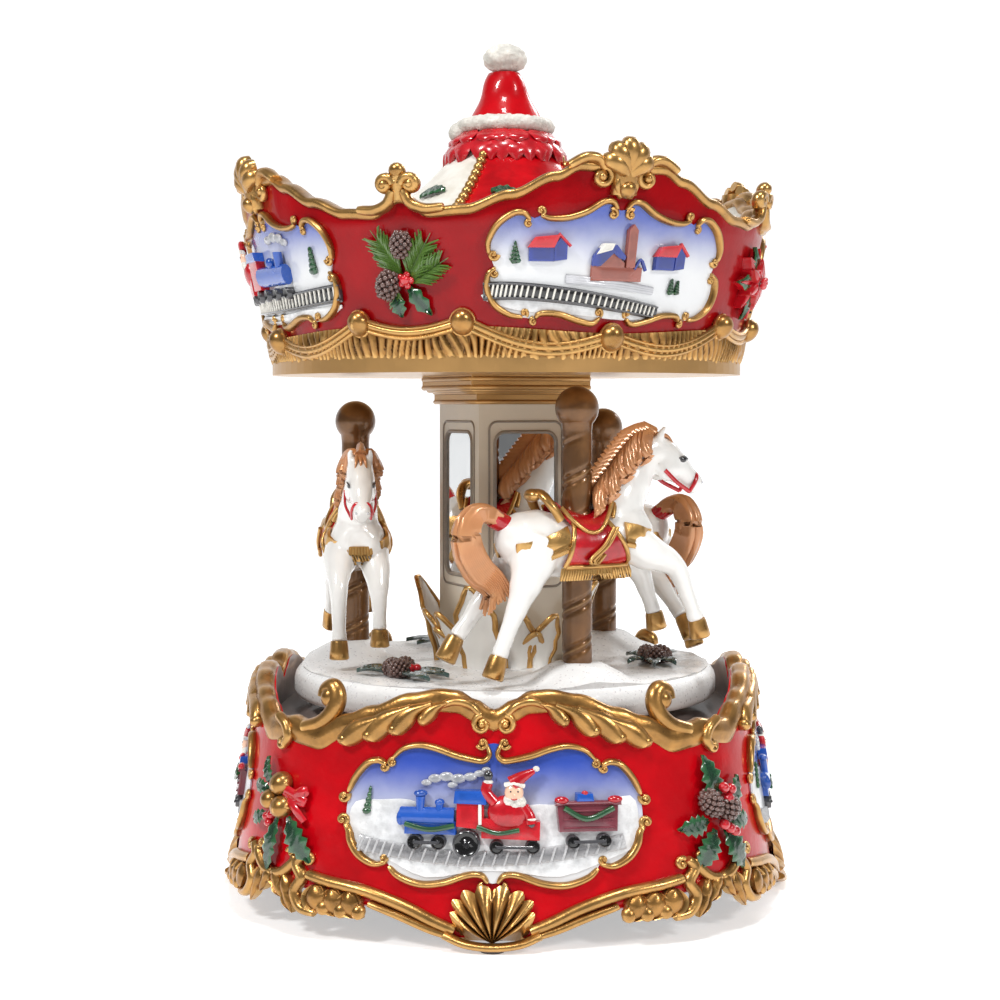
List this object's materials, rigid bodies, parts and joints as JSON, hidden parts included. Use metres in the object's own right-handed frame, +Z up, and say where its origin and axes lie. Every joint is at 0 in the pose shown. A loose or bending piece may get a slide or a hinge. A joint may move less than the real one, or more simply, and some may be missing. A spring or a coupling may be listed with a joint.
{
  "type": "carousel music box",
  "caption": "Wind-up music box with a turning carousel of horses on poles round a mirrored column, between a cast base and a matching canopy.",
  "frame": {"origin": "middle of the base, on the surface that the felt pads rest on", "axes": "+Z up along the turntable's axis, -Y out of the front panel of the base"},
  "size_m": [0.1336, 0.1336, 0.2],
  "materials": {
    "cast_red": "cast resin, deep red gloss paint",
    "felt": "pressed felt",
    "cover_black": "moulded, fine grain",
    "bright_steel": "turned, bright",
    "movement_brass": "stamped and turned brass",
    "comb_steel": "hardened, ground",
    "key_gold": "plated, polished",
    "fan_aluminium": "sheet",
    "snow_white": "cast resin, pearl white with fine glitter",
    "column_cream": "cast resin, cream paint",
    "mirror_silver": "silvered glass",
    "leaf_white": "cast resin, white paint with gold edges",
    "antique_gold": "antique gold paint, worn dark in the hollows",
    "pole_bronze": "bronze paint over spiral relief",
    "horse_white": "cast resin, white gloss paint"
  },
  "bodies": {
    "base": {"base_shell": "cast_red", "felt_pads": "felt", "bottom_cover": "cover_black", "bottom_cover_screws": "bright_steel", "bedplate": "movement_brass", "bedplate_screws": "bright_steel", "cylinder_bearings": "movement_brass", "comb_block": "movement_brass", "comb": "comb_steel", "comb_screws": "bright_steel", "governor_frame": "movement_brass", "governor_screws": "bright_steel", "ratchet_click": "bright_steel", "click_pivot": "bright_steel", "spindle_bush": "movement_brass"},
    "key": {"winding_key": "key_gold", "winding_arbor": "bright_steel", "ratchet_wheel": "movement_brass"},
    "turntable": {"spring_barrel": "movement_brass", "barrel_cap": "movement_brass", "mainspring": "bright_steel", "drive_spindle": "bright_steel", "turntable_plate": "bright_steel", "turntable_screws": "bright_steel", "snow_platform": "snow_white", "column": "column_cream", "mirror_1": "mirror_silver", "mirror_2": "mirror_silver", "mirror_3": "mirror_silver", "mirror_4": "mirror_silver", "column_foot": "leaf_white", "capital": "antique_gold", "tie_rod": "bright_steel", "tie_nuts": "bright_steel", "canopy_plate": "antique_gold", "canopy": "cast_red", "roof": "cast_red", "finial_hat": "cast_red", "pole_1": "pole_bronze", "pole_2": "pole_bronze", "pole_3": "pole_bronze", "horse_1": "horse_white", "horse_2": "horse_white", "horse_3": "horse_white"},
    "cylinder": {"music_cylinder": "movement_brass", "cylinder_arbor": "bright_steel", "cylinder_gear": "movement_brass"},
    "governor": {"governor_shaft": "bright_steel", "worm_wheel": "movement_brass"},
    "fan": {"fan_worm": "bright_steel", "fan_blades": "fan_aluminium"}
  },
  "joints": [
    {"name": "turntable_spin", "type": "hinge", "parent": "base", "child": "turntable", "pos_m": [0, 0, 0.045], "axis": [0, 0, 1], "continuous": true},
    {"name": "key_wind", "type": "hinge", "parent": "base", "child": "key", "pos_m": [0, 0, 0.01], "axis": [0, 0, 1], "continuous": true},
    {"name": "cylinder_spin", "type": "hinge", "parent": "base", "child": "cylinder", "pos_m": [0.02, 0, 0.02971], "axis": [1, 0, 0], "continuous": true},
    {"name": "governor_spin", "type": "hinge", "parent": "base", "child": "governor", "pos_m": [0.0385, -0.0084, 0.02971], "axis": [1, 0, 0], "continuous": true},
    {"name": "fan_spin", "type": "hinge", "parent": "base", "child": "fan", "pos_m": [0.0456, -0.0126, 0.02], "axis": [0, 0, 1], "continuous": true}
  ],
  "couplings": [
    {"joint": "cylinder_spin", "follows": "turntable_spin", "ratio": 4},
    {"joint": "governor_spin", "follows": "turntable_spin", "ratio": -16},
    {"joint": "fan_spin", "follows": "turntable_spin", "ratio": -192}
  ]
}
